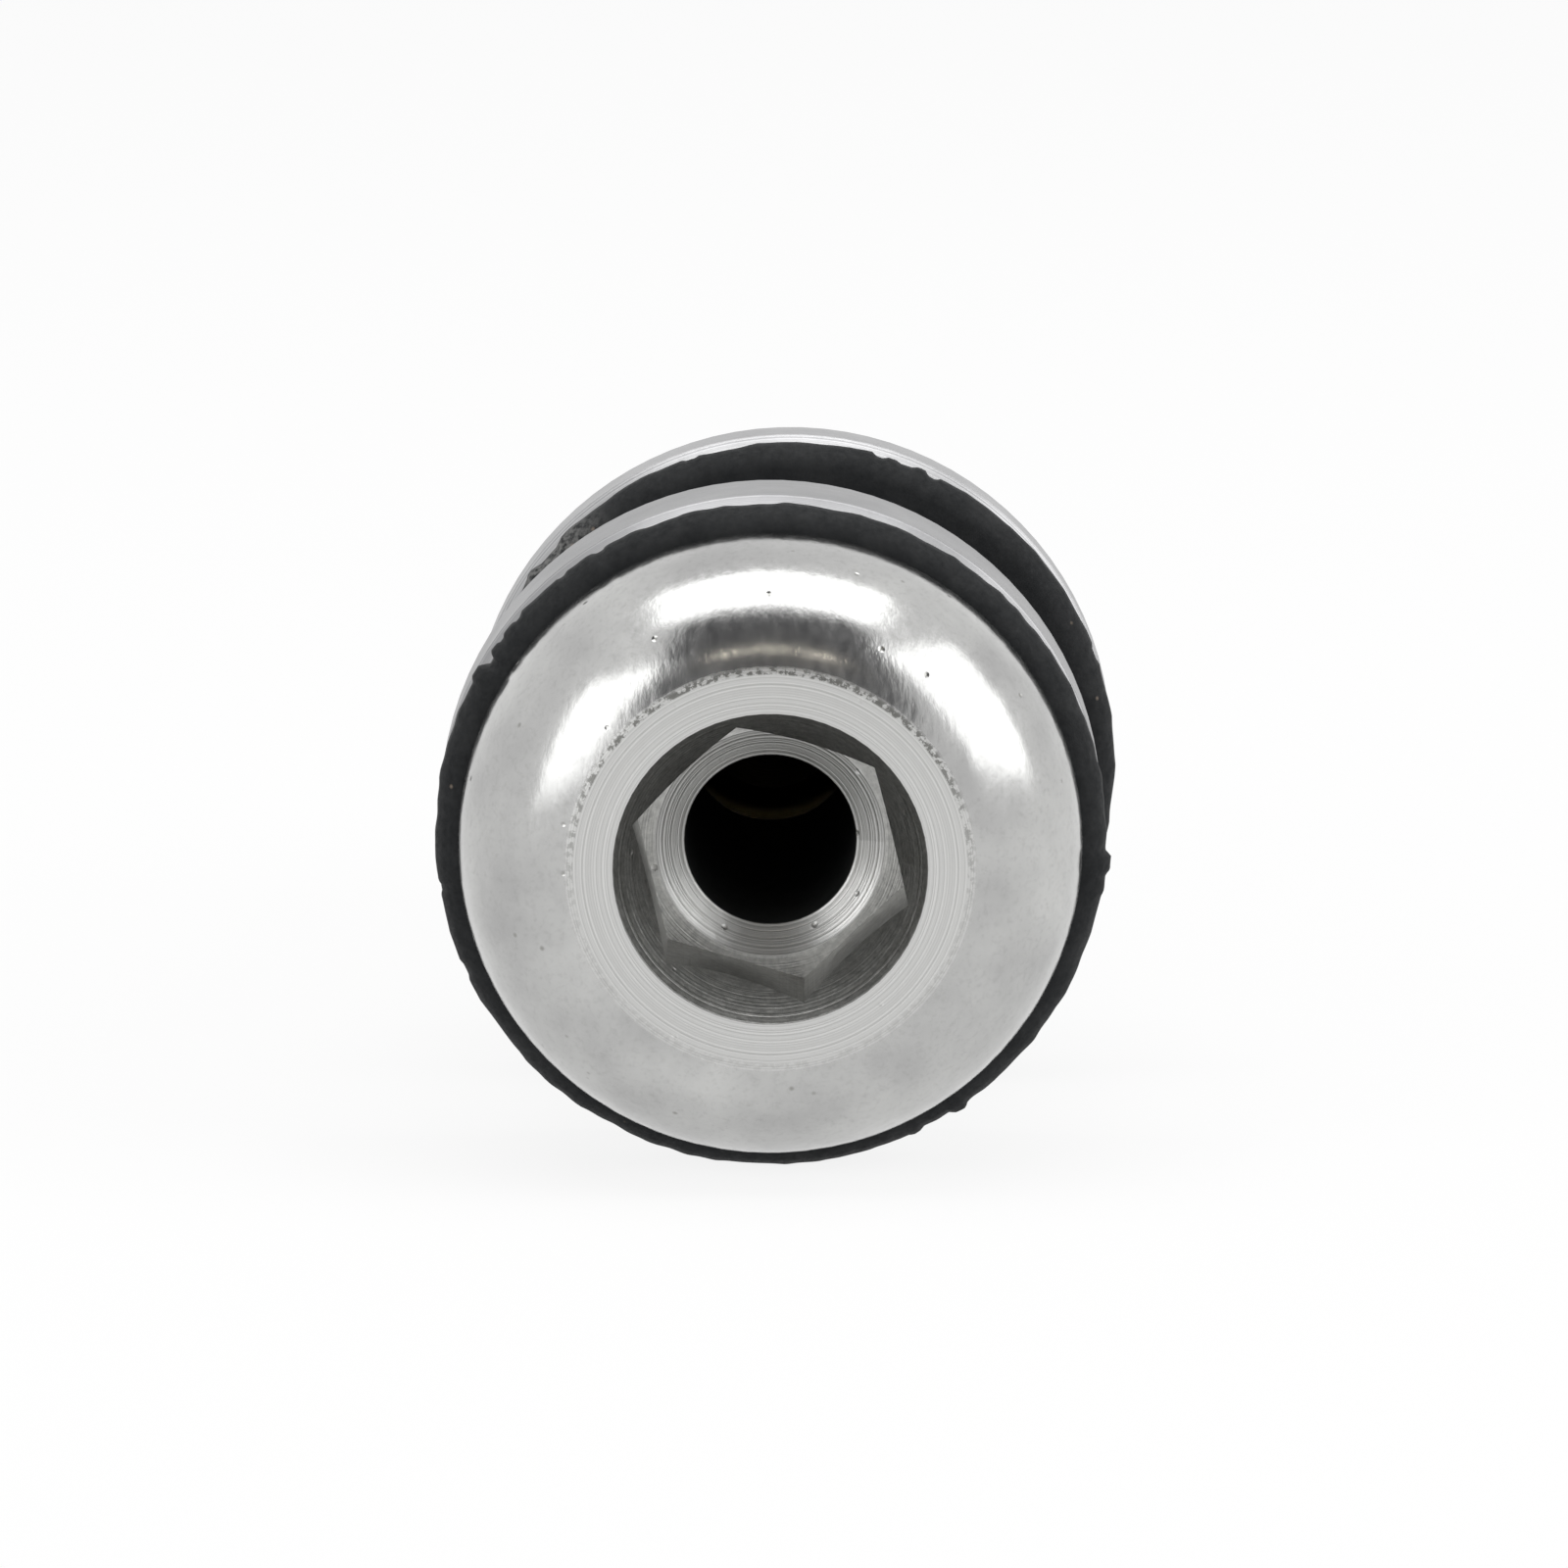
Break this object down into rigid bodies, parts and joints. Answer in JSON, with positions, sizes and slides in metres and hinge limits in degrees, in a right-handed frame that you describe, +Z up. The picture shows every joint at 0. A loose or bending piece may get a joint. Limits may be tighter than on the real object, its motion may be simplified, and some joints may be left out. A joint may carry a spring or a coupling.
{
  "type": "truck tyre valve stem",
  "caption": "Metal clamp-in tyre valve: domed head with a hex key socket, rubber seals and washers that grip a wheel rim, rim nut, spring-loaded valve core and screw cap.",
  "frame": {"origin": "on the valve's axis, in the plane where the wheel rim meets the inner washer", "axes": "+Y along the valve from the domed head towards the cap, +Z up as in the picture, +X to the right when the head is faced"},
  "size_m": [0.0169, 0.041, 0.0164],
  "materials": {
    "plated_stem": "polished plate, slightly grainy",
    "washer_metal": "plain turned, satin",
    "nut_metal": "satin plate",
    "cap_metal": "satin plate",
    "seal_rubber": "matt, dusty, trimmed edge",
    "core_brass": "turned",
    "spring_steel": "drawn wire",
    "gasket_plastic": "plain"
  },
  "bodies": {
    "stem": {"valve_stem": "plated_stem", "inner_seal": "seal_rubber", "inner_washer": "washer_metal", "core_plug": "core_brass", "core_barrel": "core_brass", "core_gasket": "gasket_plastic", "core_spring": "spring_steel"},
    "core_pin": {"core_pin": "core_brass", "core_cup": "core_brass", "core_cup_seal": "seal_rubber"},
    "clamp": {"outer_seal": "seal_rubber", "outer_washer": "washer_metal"},
    "nut": {"rim_nut": "nut_metal"},
    "cap_liner": {"cap_seal": "seal_rubber"},
    "cap": {"valve_cap": "cap_metal"}
  },
  "joints": [
    {"name": "core_press", "type": "slide", "parent": "stem", "child": "core_pin", "axis": [0, -1, 0], "range_m": [0, 0.0016], "stiffness_N_per_m": 600, "springref_m": -0.002, "deforming": ["core_spring"]},
    {"name": "clamp_slide", "type": "slide", "parent": "stem", "child": "clamp", "axis": [0, 1, 0], "range_m": [-0.0036, 0.0065]},
    {"name": "nut_turn", "type": "hinge", "parent": "clamp", "child": "nut", "pos_m": [0, 0.0092, 0], "axis": [0, 1, 0], "range_deg": [-1296.1, 2340.1]},
    {"name": "cap_lift", "type": "slide", "parent": "stem", "child": "cap_liner", "axis": [0, 1, 0], "range_m": [0, 0.00794]},
    {"name": "cap_turn", "type": "hinge", "parent": "cap_liner", "child": "cap", "pos_m": [0, 0.0312, 0], "axis": [0, 1, 0], "range_deg": [0, 3600.1]}
  ],
  "couplings": [
    {"joint": "nut_turn", "follows": "clamp_slide", "rad_per_m": 6283.2},
    {"joint": "cap_turn", "follows": "cap_lift", "rad_per_m": 7913.3}
  ]
}
